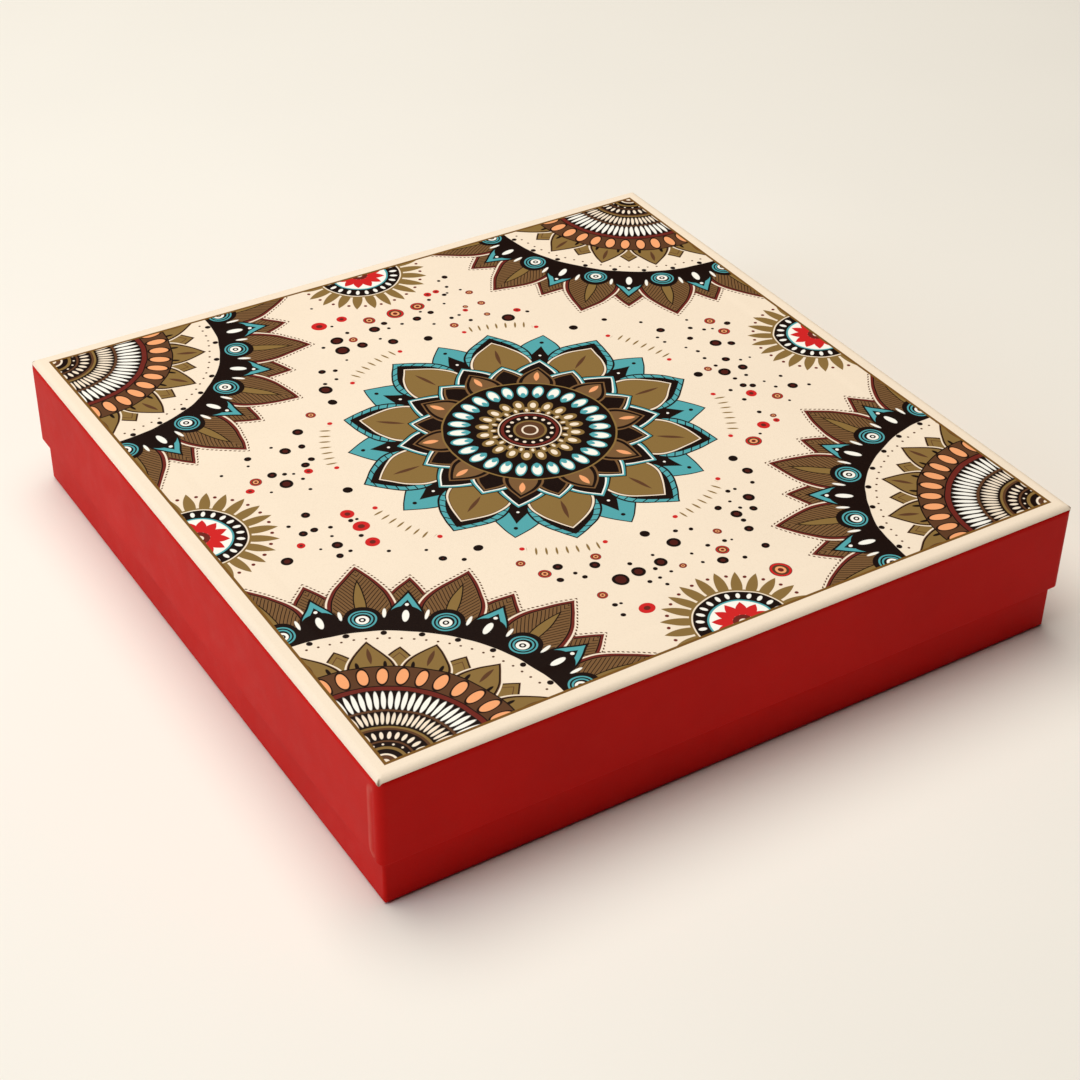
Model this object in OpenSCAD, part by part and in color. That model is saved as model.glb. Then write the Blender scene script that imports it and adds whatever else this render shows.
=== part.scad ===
// Rigid sweet box with a lift-off lid. Base and lid are two greyboard trays, each scored and
// folded from one blank, held at its corners by paper stays and covered with pasted paper.
// The origin is at the middle of the underside, with +Z up. All sizes are in millimetres.

/* [Box] */
// Width across the sides of the lid, along X
box_w = 205; // [120:1:400]
// Depth across the sides of the lid, along Y
box_d = 205; // [120:1:400]
// Height of the closed box
box_h = 40; // [34:1:90]
// Height of the lid, from its lower rim to its top
lid_h = 26; // [22:0.5:30]
// Gap all round between the closed lid and the base inside it
slip = 0.15; // [0.1:0.05:0.6]

/* [Board and paper] */
// Thickness of the greyboard
board_t = 1.2; // [0.8:0.1:2]
// Thickness of the red covering paper
wrap_t = 0.15; // [0.08:0.01:0.25]
// Thickness of the printed sheet on top of the lid
cover_t = 0.15; // [0.08:0.01:0.25]
// Thickness of the sheet under the base
under_t = 0.15; // [0.08:0.01:0.25]
// Thickness of the white lining paper
lining_t = 0.12; // [0.08:0.01:0.2]
// Thickness of the paper stays at the corners
stay_t = 0.12; // [0.08:0.01:0.2]

/* [Edges] */
// Rounding of the lid board along its top edge and its upright corners
lid_round = 2.2; // [0.6:0.1:2.4]
// Rounding of the base board along its bottom edge and its upright corners
base_round = 0.8; // [0.5:0.1:2]
// Open joint between two folded-up walls at a corner
corner_slit = 0.2; // [0.1:0.05:0.5]

/* [Paper margins] */
// How far the printed sheet comes down over the lid's top edge
cover_drop = 1.1; // [0.6:0.1:3]
// How far the lid's red paper is folded in over the top, under the printed sheet
lid_fold_over = 12; // [8:1:20]
// Height of the lid's red paper up the inside of its walls
lid_turn_in = 18; // [10:1:18]
// How far the base's red paper is folded in under the floor
base_fold_under = 12; // [8:1:20]
// Depth of the base's red paper down the inside of its walls
base_turn_in = 15; // [8:1:20]
// Distance of the bottom sheet from the edge of the base
under_margin = 2; // [1:0.5:5]
// Gap of the mitre cut where two folded edges meet at a corner
mitre_gap = 0.3; // [0.2:0.1:1]
// Width of the lap where the two ends of the lid's red paper meet
lap_w = 3.5; // [3:0.5:12]
// Rounding of the lap's two free corners
lap_round = 2.5; // [0.5:0.5:2.5]

/* [Corner stays] */
// Width of each leg of a corner stay
stay_leg = 12; // [6:1:25]
// Distance of a stay from the ends of its corner
stay_margin = 1.5; // [0.5:0.5:4]

/* [Hidden] */
CORNERS = [
    ["front_left", -1, -1], ["front_right", 1, -1],
    ["back_right", 1, 1], ["back_left", -1, 1],
];

// Levels of the closed box, from the table up
base_wrap_z = under_t;                      // underside of the red paper
base_board_z = base_wrap_z + wrap_t;        // underside of the base board
base_floor_z = base_board_z + board_t;      // top of the base board's floor
lid_rim_z = box_h - lid_h;                  // lower rim of the lid
lid_band_z = box_h - cover_t;               // top of the folded-over red paper
lid_board_z = lid_band_z - wrap_t;          // top of the lid board
lid_roof_z = lid_board_z - board_t;         // underside of the lid board
base_rim_z = lid_roof_z - lining_t;         // rim of the base, which carries the lid
base_board_top_z = base_rim_z - wrap_t;
base_turn_z = base_rim_z - base_turn_in;    // lower edge of the base's turned-in paper
lid_turn_z = lid_rim_z + lid_turn_in;       // upper edge of the lid's turned-in paper

// A plan size is cut down by twice a depth: to the base's outside, and from the outside of
// a tray to its board, to the inside of its board and to its hollow
wall_t = wrap_t + board_t + wrap_t;
base_inset = 2 * (wall_t + slip);
skin = 2 * wrap_t;
inner = 2 * (wrap_t + board_t);
hollow = 2 * wall_t;

REACH = 2 * (box_w + box_d + box_h);        // longer than any cut needs to be
OVER = 1;                                   // how far a cut runs past the paper that it cuts
SMOOTH = 64;                                // facets of a full circle on the screen
RED = [0.72, 0.12, 0.10];
CREAM = [0.98, 0.90, 0.80];
WHITE = [0.97, 0.96, 0.94];
GREY = [0.60, 0.57, 0.52];
KRAFT = [0.80, 0.68, 0.52];

// Slab centred on the box, smaller than it by cut on each of its two plan sizes
module slab(cut, z_lo, z_hi) {
    translate([-(box_w - cut) / 2, -(box_d - cut) / 2, z_lo])
        cube([box_w - cut, box_d - cut, z_hi - z_lo]);
}

// Plan outline of a tray with rounded corners
module outline(cut, r) {
    w = box_w - cut;
    d = box_d - cut;
    square([w - 2 * r, d], center = true);
    square([w, d - 2 * r], center = true);
    for (x = [-1, 1], y = [-1, 1])
        translate([x * (w / 2 - r), y * (d / 2 - r)]) circle(r, $fn = SMOOTH);
}

// Upright section of a tray, w wide, with its two top corners rounded
module section(w, z_lo, z_hi, r) {
    translate([-w / 2, z_lo]) square([w, z_hi - r - z_lo]);
    translate([-w / 2 + r, z_lo]) square([w - 2 * r, z_hi - z_lo]);
    for (x = [-1, 1]) translate([x * (w / 2 - r), z_hi - r]) circle(r, $fn = SMOOTH);
}

// Solid block of a tray's outer form: upright corners and top edge rounded by r
module lid_form(cut, z_lo, z_hi, r) {
    intersection() {
        translate([0, 0, z_lo]) linear_extrude(z_hi - z_lo) outline(cut, r);
        translate([0, REACH / 2, 0]) rotate([90, 0, 0])
            linear_extrude(REACH) section(box_w - cut, z_lo, z_hi, r);
        translate([-REACH / 2, 0, 0]) rotate([90, 0, 90])
            linear_extrude(REACH) section(box_d - cut, z_lo, z_hi, r);
    }
}

// The same form turned over, with its bottom edge rounded
module base_form(cut, z_lo, z_hi, r) {
    translate([0, 0, z_lo + z_hi]) mirror([0, 0, 1]) lid_form(cut, z_lo, z_hi, r);
}

// Upright walls between two plan outlines with square inner corners
module ring(outer_cut, inner_cut, z_lo, z_hi) {
    difference() {
        slab(outer_cut, z_lo, z_hi);
        slab(inner_cut, z_lo - OVER, z_hi + OVER);
    }
}

// Thin diagonal cuts at the four corners of a form, which reach run to each side of a corner
module corner_cuts(cut, run, gap, z_lo, z_hi) {
    for (x = [-1, 1], y = [-1, 1])
        translate([x * (box_w - cut) / 2, y * (box_d - cut) / 2, z_lo])
            rotate(atan2(-y, -x))
                translate([-run, -gap / 2, 0]) cube([2 * run, gap, z_hi - z_lo]);
}

// Paper stay let into the outside of a board's corner
module stay(cut, r, z_lo, z_hi, x, y) {
    w = box_w - cut;
    d = box_d - cut;
    translate([0, 0, z_lo]) linear_extrude(z_hi - z_lo) intersection() {
        difference() {
            outline(cut, r);
            outline(cut + 2 * stay_t, r - stay_t);
        }
        translate([x * w / 2, y * d / 2]) square(2 * stay_leg, center = true);
    }
}

module base_stay(x, y) {
    stay(base_inset + skin, base_round, base_floor_z + stay_margin,
         base_board_top_z - stay_margin, x, y);
}

module lid_stay(x, y) {
    stay(skin, lid_round, lid_rim_z + wrap_t + stay_margin,
         lid_roof_z - stay_margin, x, y);
}

// Greyboard tray of the base
module base_board() {
    color(GREY) difference() {
        base_form(base_inset + skin, base_board_z, base_board_top_z, base_round);
        slab(base_inset + inner, base_floor_z, REACH);
        corner_cuts(base_inset + inner, board_t + base_round, corner_slit, base_floor_z, REACH);
        for (corner = CORNERS) base_stay(corner[1], corner[2]);
    }
}

// Red paper of the base: folded in under the floor, up the sides, over the rim and down inside
module base_side_strip() {
    opening = base_inset + 2 * base_fold_under;
    color(RED) {
        difference() {
            base_form(base_inset, base_wrap_z, base_rim_z, base_round + wrap_t);
            base_form(base_inset + skin, base_board_z, base_board_top_z, base_round);
            slab(base_inset + hollow, base_board_top_z - OVER, REACH);
            slab(opening, 0, base_board_z + OVER);
            corner_cuts(opening, (base_fold_under - 2 * base_round) * sqrt(2), mitre_gap,
                        0, base_board_z);
        }
        ring(base_inset + inner, base_inset + hollow, base_turn_z, base_rim_z);
    }
}

// Sheet pasted under the base, which dips from the folded paper to the board inside it
module base_bottom_sheet() {
    opening = base_inset + 2 * base_fold_under;
    color(CREAM) difference() {
        slab(base_inset + 2 * under_margin, 0, base_board_z);
        difference() {
            slab(0, base_wrap_z, REACH);
            slab(opening, 0, REACH);
        }
        slab(opening + 2 * under_t, -OVER, wrap_t);
    }
}

// White lining of the base's floor and walls, up to the turned-in red paper
module base_liner() {
    color(WHITE) difference() {
        slab(base_inset + inner, base_floor_z, base_turn_z);
        slab(base_inset + inner + 2 * lining_t, base_floor_z + lining_t, REACH);
    }
}

// Greyboard tray of the lid, upside down
module lid_board() {
    color(GREY) difference() {
        lid_form(skin, lid_rim_z + wrap_t, lid_board_z, lid_round);
        slab(inner, 0, lid_roof_z);
        corner_cuts(inner, board_t + lid_round, corner_slit, 0, lid_roof_z);
        for (corner = CORNERS) lid_stay(corner[1], corner[2]);
    }
}

// End of the lid's red paper, lapped past the front left corner on the left side
module lap() {
    lap_h = lid_h - cover_drop - lid_round - wrap_t;
    translate([-box_w / 2 - wrap_t, -box_d / 2 + lid_round + wrap_t, lid_rim_z])
        rotate([90, 0, 90]) linear_extrude(2 * wrap_t) {
            square([lap_w - lap_round, lap_h]);
            translate([0, lap_round]) square([lap_w, lap_h - 2 * lap_round]);
            for (z = [lap_round, lap_h - lap_round])
                translate([lap_w - lap_round, z]) circle(lap_round, $fn = SMOOTH);
        }
}

// Red paper of the lid: folded in over the top, down the sides, round the rim and up inside
module lid_side_strip() {
    opening = 2 * lid_fold_over;
    color(RED) {
        difference() {
            lid_form(0, lid_rim_z, lid_band_z, lid_round + wrap_t);
            lid_form(skin, lid_rim_z + wrap_t, lid_board_z, lid_round);
            slab(hollow, 0, lid_rim_z + wrap_t + OVER);
            slab(opening, lid_board_z - OVER, REACH);
            corner_cuts(opening, (lid_fold_over - 2 * lid_round) * sqrt(2), mitre_gap,
                        lid_board_z, REACH);
        }
        ring(inner, hollow, lid_rim_z, lid_turn_z);
        lap();
    }
}

// Printed sheet over the lid's top and round its edge, which dips to the board in the middle
module lid_top_sheet() {
    opening = 2 * lid_fold_over;
    color(CREAM) difference() {
        lid_form(-2 * cover_t, lid_rim_z, box_h, lid_round + wrap_t + cover_t);
        difference() {
            lid_form(0, lid_rim_z - OVER, lid_band_z, lid_round + wrap_t);
            slab(opening, lid_board_z, REACH);
        }
        slab(opening + 2 * cover_t, lid_board_z + cover_t, REACH);
        slab(-box_w, 0, box_h - cover_drop);
    }
}

// White lining of the lid's roof and walls, down to the turned-in red paper
module lid_liner() {
    color(WHITE) difference() {
        slab(inner, lid_turn_z, lid_roof_z);
        slab(inner + 2 * lining_t, 0, base_rim_z);
    }
}

base_board();
base_side_strip();
base_bottom_sheet();
base_liner();
lid_board();
lid_side_strip();
lid_top_sheet();
lid_liner();
for (corner = CORNERS) {
    color(KRAFT) base_stay(corner[1], corner[2]);
    color(KRAFT) lid_stay(corner[1], corner[2]);
}
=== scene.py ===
"""Papers, print and finish of a rigid sweet box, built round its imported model.

Each covering paper is one folded sheet of real thickness. The boards and the corner stays keep
the solids of the model. Lengths are in metres in the model's frame, and the print is drawn in
millimetres on it.
"""

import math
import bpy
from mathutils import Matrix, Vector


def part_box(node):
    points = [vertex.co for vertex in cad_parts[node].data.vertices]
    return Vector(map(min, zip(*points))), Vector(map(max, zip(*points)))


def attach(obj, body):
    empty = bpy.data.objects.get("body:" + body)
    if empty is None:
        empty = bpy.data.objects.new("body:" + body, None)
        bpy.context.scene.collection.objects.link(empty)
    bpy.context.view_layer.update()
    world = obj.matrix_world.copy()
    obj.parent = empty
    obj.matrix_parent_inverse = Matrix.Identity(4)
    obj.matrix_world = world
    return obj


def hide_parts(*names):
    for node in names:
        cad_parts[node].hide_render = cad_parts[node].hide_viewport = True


bl_info = {
    "name": "Rigid sweet box",
    "version": (1, 0, 0),
    "blender": (4, 5, 0),
    "location": "View3D > Sidebar > Sweet box",
    "description": "Covers a greyboard box with folded papers and prints the top of its lid",
    "category": "Object",
}

import bmesh
import bpy
from bpy.props import FloatProperty, FloatVectorProperty, IntProperty, PointerProperty
from mathutils import Matrix, Vector

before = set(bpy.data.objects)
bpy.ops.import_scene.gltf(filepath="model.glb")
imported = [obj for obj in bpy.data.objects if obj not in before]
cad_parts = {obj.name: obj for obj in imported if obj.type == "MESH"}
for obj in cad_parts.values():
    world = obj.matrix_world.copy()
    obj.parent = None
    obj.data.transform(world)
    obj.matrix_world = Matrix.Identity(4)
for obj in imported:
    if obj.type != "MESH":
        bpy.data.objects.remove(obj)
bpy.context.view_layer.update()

BAKE_MAP = "OFBake"
MM = 0.001
TURN = 2 * math.pi
# Points closer than this are one point
MERGE = 0.0001 * MM
# Faces that meet at more than this keep a sharp edge between them
SHARP = math.radians(40)
# How far the middle of a round corner lies inside its two sides, over its radius
CORNER_CUT = 1 - math.sqrt(0.5)
# Clear ground in mm: round the middle of the print, its corners and the middles of its sides,
# and along its border
MIDDLE_CLEAR, CORNER_CLEAR, SIDE_CLEAR, BORDER_CLEAR = 58.8, 76, 22.5, 3.5

# Nodes of the model that the papers stand for. The lid's sides are taken from its right side,
# because the left one also carries the lap.
LID_LOW, LID_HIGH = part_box("lid_side_strip")
LID_SIDE = LID_HIGH.x
COVER_LOW, COVER_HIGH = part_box("lid_top_sheet")
LID_LINER_LOW, LID_LINER_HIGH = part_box("lid_liner")
BASE_LOW, BASE_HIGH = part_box("base_side_strip")
BASE_LINER_LOW, BASE_LINER_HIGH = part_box("base_liner")
UNDER_LOW, UNDER_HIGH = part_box("base_bottom_sheet")
# Thickness of the red paper, from the rim of the base's board up to the rim over it
WRAP_T = BASE_HIGH.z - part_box("base_board")[1].z


# Sizes and colours that can be changed


def length(name, value, description):
    return FloatProperty(
        name=name, description=description, default=value, min=0, unit="LENGTH", precision=5
    )


def screen_colour(name, screen, description):
    """Colour whose default is given as a screen shows it, from 0 to 255."""
    shares = [value / 255 for value in screen]
    light = [s / 12.92 if s <= 0.04045 else ((s + 0.055) / 1.055) ** 2.4 for s in shares]
    return FloatVectorProperty(
        name=name, description=description, default=light, size=3, min=0, max=1,
        subtype="COLOR",
    )


class SweetBoxSizes(bpy.types.PropertyGroup):
    """Thicknesses, folds and margins of the papers"""

    wrap_t: length("Red paper", WRAP_T, "Thickness of the red paper")
    cover_t: length(
        "Printed sheet", COVER_HIGH.z - LID_HIGH.z, "Thickness of the printed sheet"
    )
    under_t: length("Under sheet", BASE_LOW.z, "Thickness of the sheet under the base")
    lining_t: length("Lining", 0.12 * MM, "Thickness of the white lining")
    wall_t: length(
        "Covered wall", BASE_HIGH.x - BASE_LINER_HIGH.x + WRAP_T,
        "Thickness of a wall with its red paper on both sides",
    )
    lid_round: length("Lid rounding", 2.35 * MM, "Rounding of the lid's top edge and corners")
    base_round: length("Base rounding", 0.95 * MM, "Rounding of the base's lower edge and corners")
    rim_round: length("Rim fold", 0.32 * MM, "Rounding of the paper's fold round a rim")
    inner_round: length("Inner fold", 0.4 * MM, "Rounding of a lining's fold at the floor")
    mitre: length("Mitre", 0.2 * MM, "Opening of the mitre cut of a folded-in edge")
    corner_ridge: length("Corner ridge", 0.5 * MM, "Rounding of the printed sheet's corner ridge")
    fold_in: length("Fold-in", 12 * MM, "Width of red paper folded in over or under the board")
    step_run: length("Step", 3.5 * MM, "Width over which a sheet dips off the folded-in paper")
    crease: length("Crease", 0.12 * MM, "Depth of the printed sheet's crease at a corner")
    tip: length("Tip", 0.9 * MM, "How far the printed sheet's edge hangs lower at a corner")
    lap_w: length("Lap", 3.25 * MM, "Width of the lap of the lid's red paper")
    lap_low: length("Lap height", 0.3 * MM, "From the rim of the lid up to the lap")
    # Width of the paler band of painted highlight along the lap's ridge
    lap_ramp: length("Lap ramp", 2.6 * MM, "Width of the soft ridge round the lap")
    lap_crest: length("Lap crest", 1.56 * MM, "From the edge of the lap to the top of its ridge")
    lap_sunk: length("Lap sunk", 0.01 * MM, "How far the lap's ends go into the paper below")
    steps: IntProperty(
        name="Fold steps", description="Steps round each fold", default=10, min=2, max=24
    )


class SweetBoxColours(bpy.types.PropertyGroup):
    """Colours of the papers, the board and the inks"""

    red: screen_colour("Red paper", (213, 16, 10), "Covering paper of the sides")
    cream: screen_colour("Cream", (245, 226, 205), "Ground of the printed sheet")
    rule: screen_colour("Border rule", (122, 84, 34), "Thin rule round the print")
    olive: screen_colour("Olive", (138, 108, 60), "Broad petals")
    dark: screen_colour("Brown black", (24, 9, 5), "Outlines and dark grounds")
    brown: screen_colour("Brown", (94, 60, 38), "Rings and veins")
    umber: screen_colour("Umber", (122, 88, 55), "Hatched leaves")
    teal: screen_colour("Teal", (84, 165, 172), "Pointed petals")
    peach: screen_colour("Peach", (246, 166, 114), "Beads of the corner medallions")
    maroon: screen_colour("Maroon", (110, 38, 30), "Fine outlines")
    scarlet: screen_colour("Scarlet", (208, 36, 36), "Small accents")
    white: screen_colour("White", (251, 246, 238), "Seeds and fine lines")
    under: screen_colour("Under sheet", (226, 211, 188), "Sheet under the base")
    lining: screen_colour("Lining", (240, 237, 230), "Lining of the base and the lid")
    board: screen_colour("Greyboard", (160, 152, 140), "Bare board")
    kraft: screen_colour("Kraft", (176, 134, 88), "Corner stays")


class SweetBoxPrint(bpy.types.PropertyGroup):
    """Main sizes of the printed ornament"""

    reach: length("Border", 98.3 * MM, "From the middle to the outside of the border rule")
    rule_w: length("Rule width", 0.8 * MM, "Width of the border rule")
    bow: length("Border bow", 0.5 * MM, "How far the middle of each border rule bows inwards")
    softness: length("Ink edge", 0.12 * MM, "Width over which one ink turns into the next")
    waver: length("Waver", 0.5 * MM, "Wandering of the drawn lines")
    corner_scale: FloatProperty(
        name="Corner scale", description="Size of the corner medallions", default=0.93,
        min=0.5, max=1.2,
    )
    scatter: length("Scatter", 7.2 * MM, "Mean distance between scattered dots")


class SweetBoxStage(bpy.types.PropertyGroup):
    """Floor, lights and camera"""

    floor: screen_colour("Floor", (244, 238, 231), "Plain floor")
    lens: FloatProperty(
        name="Lens", description="Focal length in mm on a sensor 36 mm wide", default=73.55
    )
    camera: FloatVectorProperty(
        name="Camera", description="Place of the camera", default=(-0.2652, -0.4224, 0.3682),
        subtype="TRANSLATION",
    )
    aim: FloatVectorProperty(
        name="Aim", description="Point in the middle of the picture",
        default=(-0.0097, -0.0214, 0.020), subtype="TRANSLATION",
    )
    roll: FloatProperty(
        name="Roll", description="Turn of the camera about its line of sight",
        default=math.radians(1.01), subtype="ANGLE",
    )
    window: FloatProperty(
        name="Window", description="Power of the large light from the left in watts",
        default=5, min=0,
    )
    ceiling: FloatProperty(
        name="Ceiling", description="Power of the broad light from above in watts",
        default=28, min=0,
    )
    sky: FloatProperty(
        name="Sky", description="Strength of the light from all round", default=0.02, min=0
    )


# Folded sheets of paper


def bend(inset, height, radius, start, end, steps):
    """Points (inset, height) round a centre, at angles in degrees from outwards towards up."""
    angles = [math.radians(start + (end - start) * step / steps) for step in range(steps + 1)]
    return [(inset - radius * math.cos(a), height + radius * math.sin(a)) for a in angles]


def ease(share):
    """Soft way from nought to one"""
    held = max(0, min(1, share))
    return held * held * (3 - 2 * held)


def dip(inset, run, height, depth, steps):
    """Points (inset, height) of a soft step at the edge of the folded-in paper."""
    shares = [step / steps for step in range(steps + 1)]
    return [(inset + run * share, height + depth * ease(share)) for share in shares]


def lay_ring(loop, half, radius, height, crease, tip):
    """Lays a loop of points along a square of that half width with rounded corners.

    The middle of each corner is drawn in by the crease and hangs lower by the tip.
    """
    steps = len(loop) // 4 - 1
    for number, vert in enumerate(loop):
        if vert is None:
            continue
        quarter, step = divmod(number, steps + 1)
        corner = Vector(((1, 1), (-1, 1), (-1, -1), (1, -1))[quarter])
        angle = TURN / 4 * (quarter + step / steps)
        outwards = Vector((math.cos(angle), math.sin(angle)))
        off_middle = abs(2 * step / steps - 1)
        groove = max(0, 1 - 1.4 * off_middle) ** 1.5
        vert.co.xy = corner * (half - radius) + outwards * (radius - crease * groove)
        vert.co.z = height - tip * (1 - off_middle)


def folded_sheet(path, half, corner, least, thickness, steps, **form):
    """A sheet folded along a path of (inset, height) round the box, which is its outer face.

    Its upright corners are rounded by corner. Where it turns over an edge, the two sides meet in
    a ridge that is rounded by least. The form may give it a crease down its corners, a tip that
    hangs from each corner of the first ring, a last ring that is mitred or filled, or an outer
    face that is flipped. The thickness of the paper lies behind the outer face.
    """
    bm = bmesh.new()
    bmesh.ops.create_circle(bm, cap_ends=False, radius=half, segments=4 * (steps + 1))
    loop = bm.verts[:]
    for number, (inset, height) in enumerate(path):
        edges = [bm.edges.get(pair) for pair in zip(loop, loop[1:] + loop[:1])]
        if form.get("mitred") and number == len(path) - 1:
            edges = edges[steps::steps + 1]
        if number:
            grown = bmesh.ops.extrude_edge_only(bm, edges=edges)["geom"]
            fresh = {item for item in grown if isinstance(item, bmesh.types.BMVert)}
            near = [[edge.other_vert(vert) for edge in vert.link_edges] for vert in loop]
            loop = [next((vert for vert in verts if vert in fresh), None) for verts in near]
        radius = max(corner - inset / CORNER_CUT, least)
        crease = form.get("crease", 0) * (1 - ease(inset / corner))
        lay_ring(loop, half - inset, radius, height, crease, 0 if number else form.get("tip", 0))
    if form.get("filled"):
        edges = [bm.edges.get(pair) for pair in zip(loop, loop[1:] + loop[:1])]
        bmesh.ops.contextual_create(bm, geom=edges)
    bmesh.ops.remove_doubles(bm, verts=bm.verts[:], dist=MERGE)
    if form.get("flipped"):
        bmesh.ops.reverse_faces(bm, faces=bm.faces[:])
    bm.normal_update()
    bmesh.ops.solidify(bm, geom=bm.faces[:], thickness=thickness)
    bmesh.ops.recalc_face_normals(bm, faces=bm.faces[:])
    return bm


def add_lap(bm, sizes):
    """End of the red paper, which runs round the front left corner and laps on the left side.

    Its free edge is a soft ridge with round ends, from which the lap slopes back to the corner.
    """
    reach = sizes.lap_w
    start = -LID_SIDE + sizes.lid_round
    low = LID_LOW.z + sizes.lap_low + reach
    high = LID_HIGH.z - sizes.lid_round - reach
    rings = 16
    lap = bmesh.new()
    ridge = lap.verts.layers.float.new("ridge")
    levels = [high + reach * ring / rings for ring in range(rings + 1)]
    chain = [lap.verts.new((-LID_SIDE, start, level)) for level in levels]
    profile = chain + [lap.edges.new(pair) for pair in zip(chain, chain[1:])]
    quarter = {"axis": (-1, 0, 0), "angle": TURN / 4, "steps": sizes.steps}
    top = bmesh.ops.spin(lap, geom=profile, cent=(-LID_SIDE, start, high), **quarter)
    edges = [item for item in top["geom_last"] if isinstance(item, bmesh.types.BMEdge)]
    profile = bmesh.ops.extrude_edge_only(lap, edges=edges)["geom"]
    profile = [item for item in profile if not isinstance(item, bmesh.types.BMFace)]
    moved = [item for item in profile if isinstance(item, bmesh.types.BMVert)]
    bmesh.ops.translate(lap, verts=moved, vec=(0, 0, low - high))
    edges = [item for item in profile if isinstance(item, bmesh.types.BMEdge)]
    profile = moved + [edge for edge in edges if set(edge.verts) <= set(moved)]
    bmesh.ops.spin(lap, geom=profile, cent=(-LID_SIDE, start, low), **quarter)
    bmesh.ops.remove_doubles(lap, verts=lap.verts[:], dist=MERGE)
    crest = sizes.lap_crest
    for vert in lap.verts:
        aside = vert.co.y - start
        inset = reach - math.hypot(aside, vert.co.z - max(low, min(high, vert.co.z)))
        slope = 1 - ease((inset - crest) / (reach - crest))
        rise = ease(inset / crest) * slope * ease(aside / (reach - crest))
        vert.co.x -= sizes.wrap_t * rise - sizes.lap_sunk * (1 - rise)
        # The ridge attribute masks the painted highlight along the lap's ridge
        vert[ridge] = math.sin(math.pi * max(0, min(1, inset / sizes.lap_ramp)))
    lap.normal_update()
    bmesh.ops.reverse_faces(lap, faces=[face for face in lap.faces if face.normal.x > 0])
    bmesh.ops.solidify(lap, geom=lap.faces[:], thickness=sizes.wrap_t / 2)
    bmesh.ops.recalc_face_normals(lap, faces=lap.faces[:])
    mesh = bpy.data.meshes.new("lap")
    lap.to_mesh(mesh)
    lap.free()
    bm.from_mesh(mesh)
    bpy.data.meshes.remove(mesh)


def give_piece(bm, name, body, node, material):
    """Makes a bmesh a smooth piece that stands for its node and rides on its body."""
    mesh = bpy.data.meshes.new(name)
    bm.to_mesh(mesh)
    bm.free()
    mesh.materials.append(material)
    mesh.shade_smooth()
    mesh.set_sharp_from_angle(angle=SHARP)
    piece = bpy.data.objects.new(name, mesh)
    bpy.context.scene.collection.objects.link(piece)
    weighted = piece.modifiers.new("Flat faces", "WEIGHTED_NORMAL")
    weighted.keep_sharp = True
    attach(piece, body)
    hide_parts(node)


def add_bake_map(bm, half, height, sizes):
    """Map for the printed sheet: its outer face laid flat, and its back small in one corner."""
    layer = bm.loops.layers.uv.new(BAKE_MAP)
    span = 2 * (half + 1.5 * sizes.lid_round)
    middle = Vector((0.5, 0.5))
    back_scale, back_middle = 0.012, Vector((0.008, 0.008))
    level = 0.05
    for face in bm.faces:
        drop = height - min(vert.co.z for vert in face.verts)
        upright = abs(face.normal.z) <= level
        outer = face.normal.z > level or (upright and drop < 2 * sizes.lid_round)
        for loop in face.loops:
            place = loop.vert.co.xy.copy()
            if outer:
                place += loop.vert.normal.xy * (height - loop.vert.co.z)
                loop[layer].uv = place / span + middle
            else:
                loop[layer].uv = place / span * back_scale + back_middle


# Materials


class Link:
    """A shader socket that takes part in sums, each of which adds its Math node"""

    def __init__(self, finish, socket):
        self.finish = finish
        self.socket = socket

    def math(self, operation, *terms, clamp=False):
        settings = {"operation": operation, "use_clamp": clamp}
        return self.finish.node("ShaderNodeMath", settings, dict(enumerate((self, *terms))))

    def other(self, output):
        """Another output of the same node"""
        return Link(self.finish, self.socket.node.outputs[output])

    def __add__(self, term):
        return self.math("ADD", term)

    __radd__ = __add__

    def __sub__(self, term):
        return self.math("SUBTRACT", term)

    def __rsub__(self, term):
        return self.math("MULTIPLY_ADD", -1, term)

    def __mul__(self, term):
        return self.math("MULTIPLY", term)

    __rmul__ = __mul__

    def __abs__(self):
        return self.math("ABSOLUTE")


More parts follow.
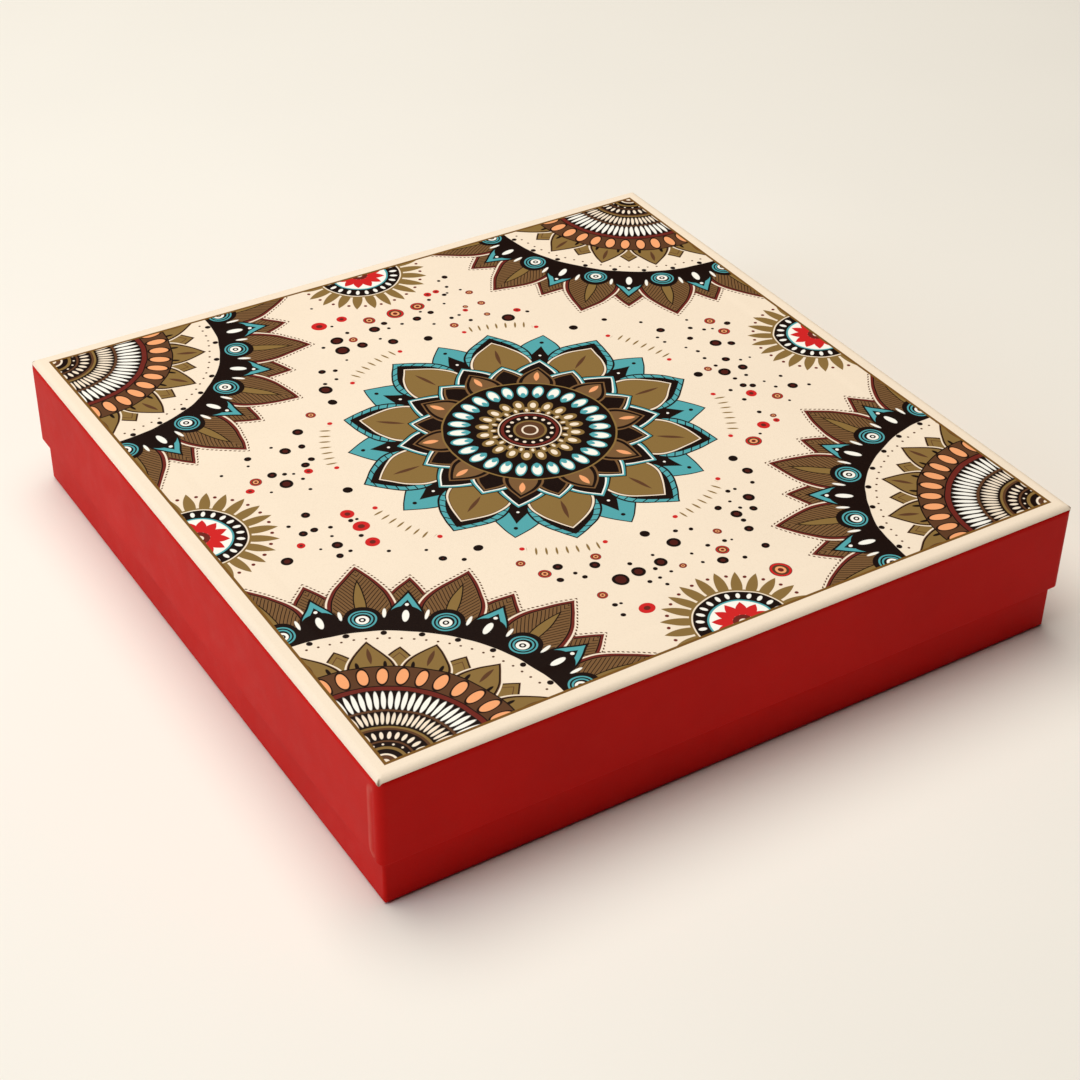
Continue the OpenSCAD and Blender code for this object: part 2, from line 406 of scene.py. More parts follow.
class Finish:
    """A material that is worked out in millimetres on the object"""

    def __init__(self, name, **surface):
        self.material = bpy.data.materials.new(name)
        self.material.use_nodes = True
        self.tree = self.material.node_tree
        self.tree.nodes.clear()
        self.surface = self.tree.nodes.new("ShaderNodeBsdfPrincipled")
        for socket, value in surface.items():
            self.surface.inputs[socket.replace("_", " ")].default_value = value
        out = self.tree.nodes.new("ShaderNodeOutputMaterial")
        self.tree.links.new(self.surface.outputs[0], out.inputs["Surface"])
        metres = self.node("ShaderNodeTexCoord", output="Object")
        self.place = self.node(
            "ShaderNodeVectorMath", {"operation": "SCALE"}, {0: metres, "Scale": 1 / MM}
        )
        self.x = self.node("ShaderNodeSeparateXYZ", values={0: self.place})
        self.y = self.x.other("Y")

    def node(self, kind, settings=None, values=None, output=0):
        """Adds a node, gives it its settings and then its values or links."""
        node = self.tree.nodes.new(kind)
        for name, value in (settings or {}).items():
            setattr(node, name, value)
        for key, value in (values or {}).items():
            socket = node.inputs[key]
            if isinstance(value, Link):
                self.tree.links.new(value.socket, socket)
            elif socket.type == "RGBA":
                socket.default_value = (*value[:3], 1)
            else:
                socket.default_value = value
        return Link(self, node.outputs[output])

    def feed(self, socket, value):
        self.tree.links.new(value.socket, self.surface.inputs[socket])

    def vector(self, x, y):
        return self.node("ShaderNodeCombineXYZ", values={0: x, 1: y})

    def vector_math(self, operation, *terms, output=0):
        settings = {"operation": operation}
        return self.node("ShaderNodeVectorMath", settings, dict(enumerate(terms)), output)

    def distance(self, point, other):
        return self.vector_math("DISTANCE", point, other, output="Value")

    def length(self, x, y):
        return self.vector_math("LENGTH", self.vector(x, y), output="Value")

    def blend(self, mask, under, over):
        """Colour that turns from one to the other as the mask goes from 0 to 1."""
        return self.node("ShaderNodeMix", {"data_type": "RGBA"}, {0: mask, 6: under, 7: over}, 2)

    def noise(self, across, detail=2, roughness=0.5, stretch=None):
        """Soft random values round a half, with spots of that many millimetres across."""
        place = self.vector_math("MULTIPLY", self.place, stretch) if stretch else self.place
        values = {"Vector": place, "Scale": 1 / across, "Detail": detail, "Roughness": roughness}
        return self.node("ShaderNodeTexNoise", {"noise_dimensions": "3D"}, values)

    def spread(self, value, low, high, to_low=0, to_high=1):
        """Stretches the values from low to high over another range, and holds them at its ends."""
        values = {0: value, 1: low, 2: high, 3: to_low, 4: to_high}
        return self.node("ShaderNodeMapRange", values=values)

    def relief(self, height, depth):
        """Small relief of the surface, that many metres deep."""
        values = {"Strength": 1, "Distance": depth, "Height": height}
        self.feed("Normal", self.node("ShaderNodeBump", values=values))


def shade(colour, factor):
    """A colour made darker or lighter"""
    return [min(1, value * factor) for value in colour[:3]]


def between(colour, other, share):
    """A colour part of the way to another"""
    return [a + (b - a) * share for a, b in zip(colour[:3], other[:3])]


def red_paper(colours):
    """Red covering paper with a matt film, a little cloudy; paler along its lap's ridge, a painted
    highlight together with some rubbing of the cut edge
    """
    finish = Finish("Red paper", Specular_IOR_Level=0.06)
    red = colours.red
    clouds = finish.noise(34, detail=4, roughness=0.55)
    colour = finish.blend(finish.spread(clouds, 0.35, 0.65), shade(red, 0.94), shade(red, 1.05))
    blooms = finish.noise(7, detail=5, roughness=0.6)
    bloom = between(red, (0.64, 0.04, 0.028), 0.3)
    colour = finish.blend(finish.spread(blooms, 0.5, 0.78, 0, 0.55), colour, bloom)
    grain = finish.noise(0.5, detail=3, roughness=0.65)
    colour = finish.blend(finish.spread(grain, 0.42, 0.7, 0, 0.3), colour, shade(red, 0.82))
    # Paler red along the lap's ridge: painted highlight on the ridge, partly rubbing of its cut
    # edge
    ridge = finish.node("ShaderNodeAttribute", {"attribute_name": "ridge"}, output="Fac")
    ridge_highlight_and_rub = ridge * finish.spread(finish.noise(6), 0.3, 0.7, 0.45, 0.8)
    colour = finish.blend(ridge_highlight_and_rub, colour, between(red, (0.72, 0.16, 0.12), 0.55))
    finish.feed("Base Color", colour)
    finish.feed("Roughness", finish.spread(blooms, 0.3, 0.75, 0.44, 0.56))
    fibres = finish.noise(0.9, detail=4, roughness=0.6, stretch=(1, 1, 2.4))
    finish.relief(grain * 0.45 + fibres * 0.55, 0.035 * MM)
    return finish.material


def plain_paper(name, colour, roughness, fleck, fleck_share, depth):
    """Uncoated paper with a fine fleck and visible fibres"""
    finish = Finish(name, Specular_IOR_Level=0.3)
    clouds = finish.noise(22, detail=4)
    shades = finish.spread(clouds, 0.35, 0.65)
    paper = finish.blend(shades, shade(colour, 0.97), shade(colour, 1.02))
    fibres = finish.noise(1.1, detail=5, roughness=0.65, stretch=(1, 3, 3))
    flecks = finish.spread(fibres, 0.56, 0.74, 0, fleck_share)
    finish.feed("Base Color", finish.blend(flecks, paper, fleck))
    finish.feed("Roughness", finish.spread(fibres, 0.3, 0.7, roughness - 0.05, roughness + 0.06))
    finish.relief(fibres, depth)
    return finish.material


def greyboard(colours):
    """Pressed grey board, with clouds of pulp and dark and pale fibres"""
    finish = Finish("Greyboard", Specular_IOR_Level=0.25)
    board = colours.board
    pulp = finish.noise(6, detail=5, roughness=0.6)
    colour = finish.blend(finish.spread(pulp, 0.35, 0.65), shade(board, 0.88), shade(board, 1.08))
    fibres = finish.noise(0.8, detail=4, roughness=0.7, stretch=(1, 3.5, 1))
    colour = finish.blend(finish.spread(fibres, 0.6, 0.72, 0, 0.6), colour, shade(board, 0.5))
    pale = finish.noise(1.3, detail=3, roughness=0.6, stretch=(3, 1, 3))
    colour = finish.blend(finish.spread(pale, 0.62, 0.72, 0, 0.5), colour, shade(board, 1.5))
    finish.feed("Base Color", colour)
    finish.feed("Roughness", finish.spread(pulp, 0.3, 0.7, 0.78, 0.9))
    finish.relief(fibres * 0.5 + pale * 0.5, 0.06 * MM)
    return finish.material


# The print, drawn in millimetres


class Motif:
    """A shape, as a field that lies below its edge value inside the shape"""

    def __init__(self, art, field, edge):
        self.art = art
        self.field = field
        self.edge = edge

    def inside(self, inset=0):
        """Mask of the shape, smaller all round by the inset"""
        steep = 1 / self.art.softness
        start = (self.edge - inset) * steep + 0.5
        return self.field.math("MULTIPLY_ADD", -steep, start, clamp=True)


class Spokes:
    """Equal sectors round a centre, folded on each other, with u outwards and v to the side"""

    def __init__(self, wheel, count, turned):
        art = self.art = wheel.art
        half = TURN / count / 2
        angle = wheel.angle - half if turned else wheel.angle
        angle = angle.math("PINGPONG", half)
        self.u = wheel.r * angle.math("COSINE")
        self.v = wheel.r * angle.math("SINE")
        self.point = art.finish.vector(self.u, self.v)

    def dot(self, at, radius):
        return Motif(self.art, self.art.finish.distance(self.point, (at, 0, 0)), radius)

    def bead(self, at, half_long, half_wide):
        """Long bead or seed that points outwards"""
        stretch = half_wide / half_long
        finish = self.art.finish
        moved = finish.vector_math(
            "MULTIPLY_ADD", self.point, (stretch, 1, 0), (-at * stretch, 0, 0)
        )
        return Motif(self.art, finish.vector_math("LENGTH", moved, output="Value"), half_wide)

    def leaf(self, start, end, half):
        """Pointed leaf between two equal arcs"""
        sink = ((end - start) ** 2 / 4 - half * half) / (2 * half)
        middle = ((start + end) / 2, -sink, 0)
        return Motif(self.art, self.art.finish.distance(self.point, middle), half + sink)

    def lotus(self, start, end, half, tip=0):
        """Pointed petal, which a tip above nought draws out and one below it makes fuller"""
        run = end - start
        along = self.u.math("MULTIPLY_ADD", 1 / run, -start / run)
        held = along.math("MAXIMUM", 0).math("MINIMUM", 1)
        angle = held * math.pi
        width = angle.math("SINE") * angle.math("COSINE").math("MULTIPLY_ADD", 2 * tip, 1)
        beyond = abs(along - held).math("MULTIPLY_ADD", run, self.v)
        return Motif(self.art, width.math("MULTIPLY_ADD", -half, beyond), -self.art.softness)


class Wheel:
    """Distance and angle round a centre"""

    def __init__(self, art, x, y):
        self.art = art
        self.r = art.finish.length(x, y)
        self.angle = y.math("ARCTAN2", x)

    def disc(self, radius):
        return Motif(self.art, self.r, radius)

    def spokes(self, count, turned=False):
        return Spokes(self, count, turned)


class Art:
    """Inks laid one over another on the ground of a sheet, with lines that waver a little"""

    def __init__(self, finish, ground, ornament):
        self.finish = finish
        self.colour = ground
        self.softness = ornament.softness / MM
        waver = 2 * ornament.waver / MM
        self.x = finish.x + finish.noise(9, detail=1).math("MULTIPLY_ADD", waver, -waver / 2)
        self.y = finish.y + finish.noise(11, detail=1).math("MULTIPLY_ADD", waver, -waver / 2)

    def lay(self, ink, mask):
        self.colour = self.finish.blend(mask, self.colour, ink)

    def nest(self, motif, *inks):
        """Lays inks inside each other: each is a pair of ink and inset"""
        for ink, inset in inks:
            self.lay(ink, motif.inside(inset))


def dot_cells(art, point, spacing, feature="F1"):
    """Cells with one dot each, that mean distance apart"""
    values = {"Vector": point, "Scale": 1 / spacing, "Randomness": 0.85}
    kind = {"voronoi_dimensions": "2D", "feature": feature}
    output = "Radius" if feature == "N_SPHERE_RADIUS" else "Distance"
    return art.finish.node("ShaderNodeTexVoronoi", kind, values, output)


def free_of_medallions(art, reach, cell):
    """Above nought where the dot of a cell lies clear of the medallions and the border"""
    finish = art.finish
    spot = finish.node("ShaderNodeSeparateXYZ", values={0: cell.other("Position")})
    spot_x = abs(spot)
    spot_y = abs(spot.other("Y"))
    gap_x = reach - spot_x
    gap_y = reach - spot_y
    to_middle = finish.length(spot_x, spot_y)
    to_corner = finish.length(gap_x, gap_y)
    to_side = finish.length(gap_x.math("MINIMUM", gap_y), spot_x.math("MINIMUM", spot_y))
    free = (to_middle - MIDDLE_CLEAR).math("MINIMUM", to_corner - CORNER_CLEAR)
    free = free.math("MINIMUM", to_side - SIDE_CLEAR)
    return free.math("MINIMUM", gap_x - BORDER_CLEAR).math("MINIMUM", gap_y - BORDER_CLEAR)


def fine_dots(art, reach, point, spacing, inks):
    """Small dark dots between the places of the larger ones"""
    apart = spacing * 0.6
    fine = dot_cells(art, point, apart)
    near = dot_cells(art, fine.other("Position"), spacing) * spacing
    chance = art.finish.node("ShaderNodeSeparateColor", values={0: fine.other("Color")})
    shown = free_of_medallions(art, reach, fine).math("GREATER_THAN", 0)
    shown = shown * chance.other("Green").math("LESS_THAN", 0.55) * near.math("GREATER_THAN", 3)
    radius = chance.math("MULTIPLY_ADD", 0.35, 0.4)
    art.lay(inks.dark, Motif(art, fine * apart - radius, 0).inside() * shown)


def scattered_dots(art, reach, spacing, inks):
    """Dots of several sizes and inks, each clear of the medallions and of the other dots."""
    finish = art.finish
    point = finish.vector(art.x, art.y)
    fine_dots(art, reach, point, spacing, inks)
    cell = dot_cells(art, point, spacing)
    room = dot_cells(art, point, spacing, "N_SPHERE_RADIUS")
    chance = finish.node("ShaderNodeSeparateColor", values={0: cell.other("Color")})
    kind = chance.other("Green")
    radius = (chance * chance).math("MULTIPLY_ADD", 2, 1)
    radius = radius.math("MINIMUM", room * (spacing * 0.8))
    free = free_of_medallions(art, reach, cell).math("GREATER_THAN", 0)
    radius = radius * free * chance.other("Blue").math("LESS_THAN", 0.86)
    field = cell * spacing - radius
    shown = Motif(art, field, -0.05).inside()
    art.lay(inks.dark, shown)
    art.lay(inks.maroon, Motif(art, field, -0.85).inside() * 0.45)
    red = kind.math("GREATER_THAN", 0.8)
    art.lay(inks.scarlet, shown * red)
    art.lay(inks.maroon, Motif(art, field + radius * 0.6, 0).inside() * red)
    ringed = kind.math("LESS_THAN", 0.17)
    art.lay(inks.scarlet, Motif(art, field, -0.2).inside() * ringed)
    for ink, share in (inks.brown, 0.25), (inks.peach, 0.5), (inks.maroon, 0.72):
        art.lay(ink, Motif(art, field + radius * share, -0.05).inside() * ringed)


def bar_fans(art, wheel, inks):
    """Fans of short bars round the middle medallion"""
    bars = wheel.spokes(132).bead(55.2, 1.5, 0.3)
    art.lay(inks.olive, bars.inside() * Motif(art, wheel.spokes(8, turned=True).v, 9.5).inside())
    art.nest(wheel.spokes(8).dot(55.5, 1.3), (inks.dark, 0))
    art.nest(wheel.spokes(16, turned=True).dot(54.3, 0.7), (inks.scarlet, 0))


def middle_medallion(art, wheel, inks):
    """Round medallion of lotus petals with a seed head in its middle"""
    face = wheel.spokes(10)
    gap = wheel.spokes(10, turned=True)
    art.nest(gap.lotus(24, 50, 7.6, -0.04), (inks.dark, 0), (inks.teal, 0.5))
    art.nest(gap.lotus(24, 44, 4.8, 0.2), (inks.dark, 0))
    art.nest(gap.dot(45.6, 0.6), (inks.dark, 0))
    art.nest(gap.dot(38.6, 0.4), (inks.white, 0))
    tips = face.lotus(22, 51, 9.9, -0.04)
    art.nest(tips, (inks.dark, 0), (inks.teal, 0.6), (inks.dark, 2.2))
    bars = Motif(art, face.u.math("PINGPONG", 1.1), 0.16)
    art.lay(inks.dark, bars.inside() * tips.inside(0.6))
    petals = face.lotus(20, 46.8, 9.1, -0.04)
    art.nest(petals, (inks.dark, 0), (inks.cream, 0.35), (inks.brown, 0.95), (inks.olive, 1.2))
    art.nest(face.leaf(34, 42, 0.55), (inks.brown, 0))
    art.nest(face.dot(32.4, 0.5), (inks.brown, 0))
    star = (inks.dark, 0), (inks.teal, 0.5), (inks.white, 1.25), (inks.dark, 1.8)
    art.nest(gap.lotus(12, 37, 8, -0.04), *star)
    art.nest(face.lotus(12, 33.5, 7.4, -0.04), *star, (inks.umber, 2.4), (inks.dark, 3.1))
    art.nest(gap.lotus(14, 32.5, 5.6, -0.04), (inks.umber, 0), (inks.dark, 0.6), (inks.umber, 1.6))
    art.nest(gap.leaf(25, 29.6, 0.8), (inks.peach, 0))
    art.nest(wheel.disc(23.8), (inks.olive, 0), (inks.dark, 0.5))
    seeds = wheel.spokes(28)
    art.nest(seeds.bead(19.3, 2.9, 1.6), (inks.teal, 0), (inks.white, 0.35))
    art.nest(seeds.bead(17.4, 1.2, 0.7), (inks.teal, 0))
    art.nest(wheel.disc(15.4), (inks.dark, 0))
    beads = wheel.spokes(20)
    art.nest(beads.bead(12.4, 2.4, 1.5), (inks.olive, 0), (inks.cream, 0.7))
    art.nest(wheel.spokes(20, turned=True).bead(9.8, 1.6, 0.9), (inks.olive, 0), (inks.cream, 0.5))
    rings = (inks.cream, 0), (inks.dark, 0.35), (inks.maroon, 0.8), (inks.dark, 1.6)
    art.nest(wheel.disc(8.6), *rings)
    art.nest(wheel.spokes(16).dot(6, 0.5), (inks.cream, 0))
    rings = (inks.olive, 0), (inks.brown, 0.6), (inks.cream, 2.2), (inks.brown, 2.7)
    art.nest(wheel.disc(4.6), *rings)


def corner_medallions(art, wheel, inks):
    """Quarter medallions of leaves and beads, which spread from the corners of the border"""
    face = wheel.spokes(16)
    gap = wheel.spokes(16, turned=True)
    for spokes, start, end, half in (gap, 44, 73, 7.4), (face, 44, 78.5, 8.8):
        leaf = spokes.lotus(start, end, half, 0.04)
        dots = Motif(art, spokes.u.math("PINGPONG", 0.55), 0.3).inside()
        art.lay(inks.brown, leaf.inside(-1.1) * dots)
        art.nest(leaf, (inks.cream, -0.55), (inks.maroon, 0), (inks.dark, 0.9), (inks.umber, 1.3))
        hatch = Motif(art, (spokes.v * 1.5 - spokes.u).math("PINGPONG", 0.9), 0.2)
        art.lay(inks.dark, hatch.inside() * leaf.inside(1.5))
        art.nest(spokes.leaf(start + 8, end - 6, 1.7), (inks.dark, 0), (inks.olive, 0.35))
    band = wheel.spokes(32)
    joints = wheel.spokes(32, turned=True)
    art.nest(gap.lotus(50, 67.5, 4.8, 0.2), (inks.dark, 0), (inks.teal, 0.7), (inks.dark, 2.3))
    art.nest(wheel.disc(57), (inks.dark, 0))
    art.nest(band.dot(55.8, 4.9), (inks.dark, 0))
    rings = (inks.teal, 0), (inks.dark, 0.5), (inks.teal, 1), (inks.dark, 1.5)
    art.nest(face.dot(55.4, 3.7), *rings)
    art.nest(face.dot(55.1, 1.7), (inks.white, 0), (inks.dark, 0.8), (inks.white, 1.3))
    art.nest(gap.bead(56.4, 2.5, 0.95), (inks.white, 0))
    art.nest(joints.bead(57.6, 1.9, 0.5), (inks.white, 0))
    art.nest(gap.dot(61.2, 0.55), (inks.white, 0))
    art.nest(wheel.disc(50.8), (inks.dark, 0), (inks.cream, 0.6))
    art.nest(joints.dot(49.3, 0.85), (inks.dark, 0))
    art.nest(wheel.spokes(96).dot(47.2, 0.36), (inks.brown, 0))
    petal = (inks.cream, -0.5), (inks.brown, 0), (inks.dark, 0.3), (inks.olive, 0.7)
    art.nest(gap.lotus(24, 44, 6.4, 0.05), *petal, (inks.brown, 2.1), (inks.olive, 2.4))
    art.nest(face.lotus(24, 46.3, 6.4, 0.05), *petal)
    art.nest(face.leaf(37, 43.5, 0.6), (inks.brown, 0))
    art.nest(joints.bead(36.6, 1.6, 0.5), (inks.dark, 0))
    art.nest(wheel.disc(36.2), (inks.dark, 0), (inks.brown, 0.4))
    art.nest(wheel.spokes(40).bead(32.1, 3.7, 1.75), (inks.dark, 0), (inks.peach, 0.35))
    art.nest(wheel.disc(28.4), (inks.dark, 0), (inks.maroon, 0.35), (inks.dark, 1.8))
    art.nest(wheel.spokes(80).bead(22.8, 3.4, 0.62), (inks.white, 0))
    art.nest(wheel.disc(19.4), (inks.brown, 0), (inks.dark, 0.8))
    art.nest(wheel.spokes(72).bead(15.9, 2.3, 0.46), (inks.cream, 0))
    rings = (inks.dark, 0), (inks.olive, 0.6), (inks.brown, 1.3), (inks.dark, 2)
    art.nest(wheel.disc(13.6), *rings)
    art.nest(band.bead(9.6, 1.3, 0.5), (inks.cream, 0))
    rings = (inks.brown, 0), (inks.dark, 0.6), (inks.olive, 2.2), (inks.dark, 3.1)
    art.nest(wheel.disc(7.8), *rings)
    art.nest(wheel.spokes(16).dot(6.4, 0.32), (inks.cream, 0))
    art.nest(wheel.disc(3.1), (inks.cream, 0), (inks.brown, 0.6), (inks.cream, 2))


def side_flowers(art, wheel, inks):
    """Half flowers on the middle of each side of the border"""
    petals = wheel.spokes(24)
    joints = wheel.spokes(24, turned=True)
    art.nest(petals.leaf(9, 20, 1.45), (inks.olive, 0))
    art.nest(joints.dot(18.2, 0.5), (inks.maroon, 0))
    art.nest(wheel.disc(13), (inks.olive, 0), (inks.cream, 0.6), (inks.dark, 1))
    art.nest(petals.bead(10.3, 1.05, 0.55), (inks.white, 0))
    art.nest(wheel.disc(8.6), (inks.teal, 0), (inks.white, 0.5))
    art.nest(wheel.spokes(12).lotus(1.5, 7.8, 1.55), (inks.scarlet, 0))
    art.nest(wheel.disc(2.6), (inks.maroon, 0), (inks.cream, 1.5))


def border_rule(art, paper, inks, reach, ornament):
    """Thin rule round the print, bowed a little inwards, with bare paper outside it"""
    along_x = abs(art.finish.x)
    along_y = abs(art.finish.y)
    beside = along_x.math("MINIMUM", along_y)
    farther = along_x.math("MAXIMUM", along_y)
    bow = ornament.bow / MM
    border = Motif(
        art, (beside * beside).math("MULTIPLY_ADD", -bow / reach ** 2, farther), reach - bow
    )
    art.lay(inks.rule, 1 - border.inside())
    art.lay(paper, 1 - border.inside(-ornament.rule_w / MM))


def painted_crease_shade(art, inks):
    """Painted shade: short brown darkening where the sheet is creased over the corners of the lid
    """
    along_x = abs(art.finish.x)
    along_y = abs(art.finish.y)
    to_corner = 2 * LID_SIDE / MM
    on_fold = art.finish.spread(abs(along_x - along_y), 0.1, 0.6, 1, 0)
    over_edge = art.finish.spread(along_x + along_y, to_corner - 2.8, to_corner - 1.8)
    # Brown painted shade in the crease at each corner
    art.lay(shade(inks.rule, 0.6), on_fold * over_edge * 0.8)


def printed_paper(colours, ornament):
    """Cream sheet with a medallion, corner quarters, half flowers and a border rule"""
    finish = Finish("Printed paper", Specular_IOR_Level=0.08)
    cream = colours.cream
    clouds = finish.noise(30, detail=4)
    paper = finish.blend(finish.spread(clouds, 0.35, 0.65), shade(cream, 0.985), shade(cream, 1.01))
    art = Art(finish, paper, ornament)
    reach = (ornament.reach - ornament.rule_w) / MM
    across = abs(art.x)
    along = abs(art.y)
    farther = across.math("MAXIMUM", along)
    nearer = across.math("MINIMUM", along)
    scattered_dots(art, reach, ornament.scatter / MM, colours)
    side_flowers(art, Wheel(art, reach - farther, nearer), colours)
    larger = 1 / ornament.corner_scale
    corner = Wheel(art, (reach - across) * larger, (reach - along) * larger)
    corner_medallions(art, corner, colours)
    middle = Wheel(art, art.x, art.y)
    bar_fans(art, middle, colours)
    middle_medallion(art, middle, colours)
    border_rule(art, paper, colours, reach, ornament)
    painted_crease_shade(art, colours)
    grain = finish.noise(0.45, detail=3, roughness=0.65)
    wear = finish.spread(grain, 0.5, 0.75, 0, 0.06)
    finish.feed("Base Color", finish.blend(wear, art.colour, colours.brown))
    sheen = finish.noise(12, detail=3)
    finish.feed("Roughness", finish.spread(sheen, 0.3, 0.7, 0.42, 0.5))
    finish.relief(grain, 0.02 * MM)
    return finish.material


# Operators, one for each piece or group of like pieces


def settings(context):
    scene = context.scene
    return scene.sweet_box_sizes, scene.sweet_box_colours


def material_once(name, make):
    """The material of that name, made the first time it is asked for."""
    return bpy.data.materials.get(name) or make()


class AddLidPaper(bpy.types.Operator):
    """Fold the lid's red paper over its top, down its sides and round its rim"""

    bl_idname = "sweet_box.lid_paper"
    bl_label = "Lid's red paper"

    def execute(self, context):
        sizes, colours = settings(context)
        rim = sizes.rim_round
        steps = sizes.steps
        path = [(sizes.wall_t, LID_LINER_LOW.z)]
        path += bend(sizes.wall_t - rim, LID_LOW.z + rim, rim, -180, -90, steps)
        path += bend(rim, LID_LOW.z + rim, rim, -90, 0, steps)
        path += bend(sizes.lid_round, LID_HIGH.z - sizes.lid_round, sizes.lid_round, 0, 90, steps)
        path += [(sizes.fold_in, LID_HIGH.z)]
        bm = folded_sheet(
            path, LID_SIDE, sizes.lid_round, sizes.mitre, sizes.wrap_t, steps, mitred=True
        )
        add_lap(bm, sizes)
        material = material_once("Red paper", lambda: red_paper(colours))
        give_piece(bm, "lid_side_paper", "lid", "lid_side_strip", material)
        return {"FINISHED"}


class AddPrintedSheet(bpy.types.Operator):
    """Lay the printed sheet over the lid's top and down over its edge"""

    bl_idname = "sweet_box.printed_sheet"
    bl_label = "Printed sheet"

    def execute(self, context):
        sizes, colours = settings(context)
        steps = sizes.steps
        top = COVER_HIGH.z
        half = LID_SIDE + sizes.cover_t
        radius = sizes.lid_round + sizes.cover_t
        centre = top - radius
        start = math.degrees(math.asin((COVER_LOW.z - centre) / radius))
        path = bend(radius, centre, radius, start, 90, steps)
        path += dip(sizes.fold_in + sizes.cover_t, sizes.step_run, top, -sizes.wrap_t, steps)
        bm = folded_sheet(
            path, half, radius, sizes.corner_ridge, sizes.cover_t, steps,
            filled=True, crease=sizes.crease, tip=sizes.tip,
        )
        add_bake_map(bm, half, top, sizes)
        material = printed_paper(colours, context.scene.sweet_box_print)
        give_piece(bm, "lid_printed_sheet", "lid", "lid_top_sheet", material)
        return {"FINISHED"}


class AddLinings(bpy.types.Operator):
    """Line the base and the lid with white paper"""

    bl_idname = "sweet_box.linings"
    bl_label = "Linings"

    def execute(self, context):
        sizes, colours = settings(context)
        fold = sizes.inner_round
        steps = sizes.steps
        material = plain_paper(
            "Lining paper", colours.lining, 0.55, shade(colours.lining, 0.9), 0.5, 0.02 * MM
        )
        low, high = LID_LINER_LOW, LID_LINER_HIGH
        path = [(0, low.z)] + bend(fold, high.z - fold, fold, 0, 90, steps)
        bm = folded_sheet(path, high.x, fold, 0, sizes.lining_t, steps, filled=True)
        give_piece(bm, "lid_lining", "lid", "lid_liner", material)
        low, high = BASE_LINER_LOW, BASE_LINER_HIGH
        path = [(0, high.z)] + bend(fold, low.z + fold, fold, 0, -90, steps)
        bm = folded_sheet(path, high.x, fold, 0, sizes.lining_t, steps, filled=True, flipped=True)
        give_piece(bm, "base_lining", "base", "base_liner", material)
        return {"FINISHED"}


class AddBasePaper(bpy.types.Operator):
    """Fold the base's red paper under its floor, up its sides and over its rim"""

    bl_idname = "sweet_box.base_paper"
    bl_label = "Base's red paper"

    def execute(self, context):
        sizes, colours = settings(context)
        rim = sizes.rim_round
        steps = sizes.steps
        low, high = BASE_LOW, BASE_HIGH
        path = [(sizes.wall_t, BASE_LINER_HIGH.z)]
        path += bend(sizes.wall_t - rim, high.z - rim, rim, 180, 90, steps)
        path += bend(rim, high.z - rim, rim, 90, 0, steps)
        path += bend(sizes.base_round, low.z + sizes.base_round, sizes.base_round, 0, -90, steps)
        path += [(sizes.fold_in, low.z)]
        bm = folded_sheet(
            path, high.x, sizes.base_round, sizes.mitre, sizes.wrap_t, steps,
            mitred=True, flipped=True,
        )
        material = material_once("Red paper", lambda: red_paper(colours))
        give_piece(bm, "base_side_paper", "base", "base_side_strip", material)
        return {"FINISHED"}


class AddUnderSheet(bpy.types.Operator):
    """Paste the plain sheet under the base"""

    bl_idname = "sweet_box.under_sheet"
    bl_label = "Under sheet"

    def execute(self, context):
        sizes, colours = settings(context)
        inset = sizes.fold_in - (BASE_HIGH.x - UNDER_HIGH.x)
        square = 0.001 * MM
        path = [(0, UNDER_LOW.z)]
        path += dip(inset, sizes.step_run, UNDER_LOW.z, sizes.wrap_t, sizes.steps)
        bm = folded_sheet(
            path, UNDER_HIGH.x, square, 0, sizes.under_t, sizes.steps, filled=True, flipped=True
        )
        material = plain_paper(
            "Under paper", colours.under, 0.7, shade(colours.under, 0.8), 0.6, 0.04 * MM
        )
        give_piece(bm, "base_under_paper", "base", "base_bottom_sheet", material)
        return {"FINISHED"}


class FinishBoards(bpy.types.Operator):
    """Give the two boards and the eight corner stays their materials"""

    bl_idname = "sweet_box.boards"
    bl_label = "Boards and corner stays"

    def execute(self, context):
        colours = settings(context)[1]
        board = greyboard(colours)
        kraft = plain_paper(
            "Kraft paper", colours.kraft, 0.8, shade(colours.kraft, 0.6), 0.8, 0.05 * MM
        )
        for name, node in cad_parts.items():
            if name.endswith("_board") or "_corner_stay_" in name:
                node.data.materials.clear()
                node.data.materials.append(board if name.endswith("_board") else kraft)
        return {"FINISHED"}


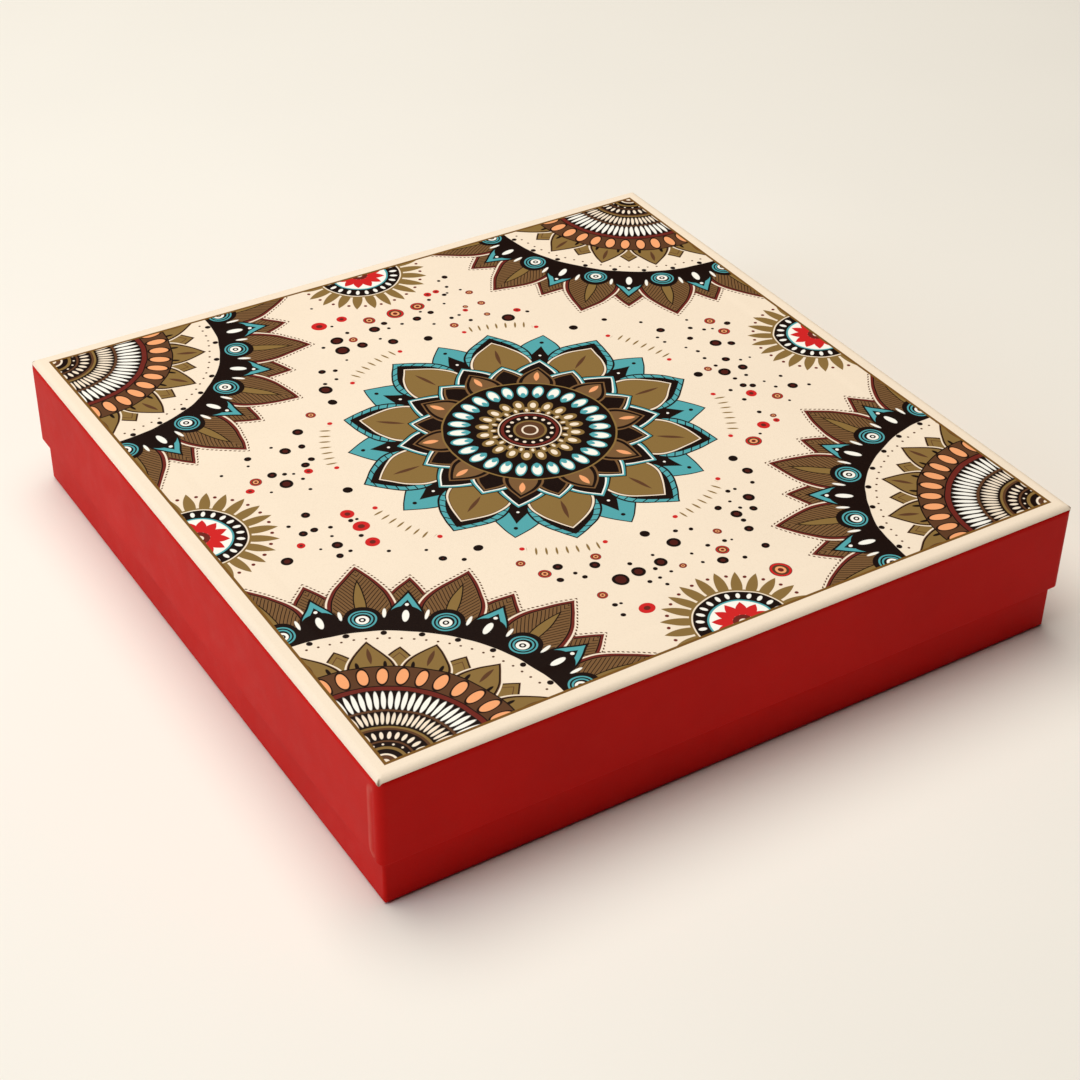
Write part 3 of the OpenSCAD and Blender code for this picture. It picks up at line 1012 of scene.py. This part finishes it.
class SetStage(bpy.types.Operator):
    """Set the floor, the lights and the camera"""

    bl_idname = "sweet_box.stage"
    bl_label = "Stage"

    def execute(self, context):
        look = context.scene.sweet_box_stage
        context.scene.view_settings.view_transform = "Standard"
        finish = Finish("Floor", Specular_IOR_Level=0.3, Roughness=0.6)
        tone = finish.spread(finish.noise(160, detail=2), 0.3, 0.7)
        colour = finish.blend(tone, shade(look.floor, 0.985), shade(look.floor, 1.01))
        finish.feed("Base Color", colour)
        bm = bmesh.new()
        bmesh.ops.create_grid(bm, x_segments=2, y_segments=2, size=4)
        mesh = bpy.data.meshes.new("floor")
        bm.to_mesh(mesh)
        bm.free()
        mesh.materials.append(finish.material)
        floor = bpy.data.objects.new("floor", mesh)
        context.scene.collection.objects.link(floor)
        self.add_light("window", (-1.3, 0.1, 0.7), 0.8, look.window, (0.66, 0.8, 1))
        self.add_light("ceiling", (-0.18, 0.3, 1.4), 1.6, look.ceiling, (0.95, 0.93, 0.85))
        world = bpy.data.worlds.new("Studio")
        context.scene.world = world
        world.use_nodes = True
        background = world.node_tree.nodes["Background"].inputs
        background["Color"].default_value = (1, 0.985, 0.965, 1)
        background["Strength"].default_value = look.sky
        camera = bpy.data.cameras.new("camera")
        camera.lens = look.lens
        camera.sensor_width = 36
        camera.clip_start = 0.01
        sight = (Vector(look.aim) - Vector(look.camera)).to_track_quat("-Z", "Y")
        turned = sight.to_matrix().to_4x4() @ Matrix.Rotation(look.roll, 4, "Z")
        viewer = bpy.data.objects.new("camera", camera)
        viewer.matrix_world = Matrix.Translation(look.camera) @ turned
        context.scene.collection.objects.link(viewer)
        context.scene.camera = viewer
        return {"FINISHED"}

    def add_light(self, name, place, size, power, colour):
        """Round light at that place, turned to the middle of the box"""
        light = bpy.data.lights.new(name, "AREA")
        light.shape = "DISK"
        light.size = size
        light.energy = power
        light.color = colour
        lamp = bpy.data.objects.new(name, light)
        turn = (Vector((0, 0, 0.02)) - Vector(place)).to_track_quat("-Z", "Y")
        lamp.matrix_world = Matrix.Translation(place) @ turn.to_matrix().to_4x4()
        bpy.context.scene.collection.objects.link(lamp)


class SweetBoxPanel(bpy.types.Panel):
    """Lists the steps that make the box"""

    bl_idname = "VIEW3D_PT_sweet_box"
    bl_label = "Sweet box"
    bl_space_type = "VIEW_3D"
    bl_region_type = "UI"
    bl_category = "Sweet box"

    def draw(self, context):
        for step in STEPS:
            self.layout.operator(step.bl_idname)


STEPS = (
    SetStage, AddLidPaper, AddPrintedSheet, AddBasePaper, AddUnderSheet, AddLinings, FinishBoards,
)
GROUPS = {
    "sweet_box_sizes": SweetBoxSizes,
    "sweet_box_colours": SweetBoxColours,
    "sweet_box_print": SweetBoxPrint,
    "sweet_box_stage": SweetBoxStage,
}


def register():
    for group in (*GROUPS.values(), *STEPS, SweetBoxPanel):
        bpy.utils.register_class(group)
    for name, group in GROUPS.items():
        setattr(bpy.types.Scene, name, PointerProperty(type=group))


def unregister():
    for name in GROUPS:
        delattr(bpy.types.Scene, name)
    for group in (SweetBoxPanel, *reversed(STEPS), *reversed(GROUPS.values())):
        bpy.utils.unregister_class(group)


def main():
    register()
    for step in STEPS:
        group, name = step.bl_idname.split(".")
        getattr(getattr(bpy.ops, group), name)()


if __name__ == "__main__":
    main()
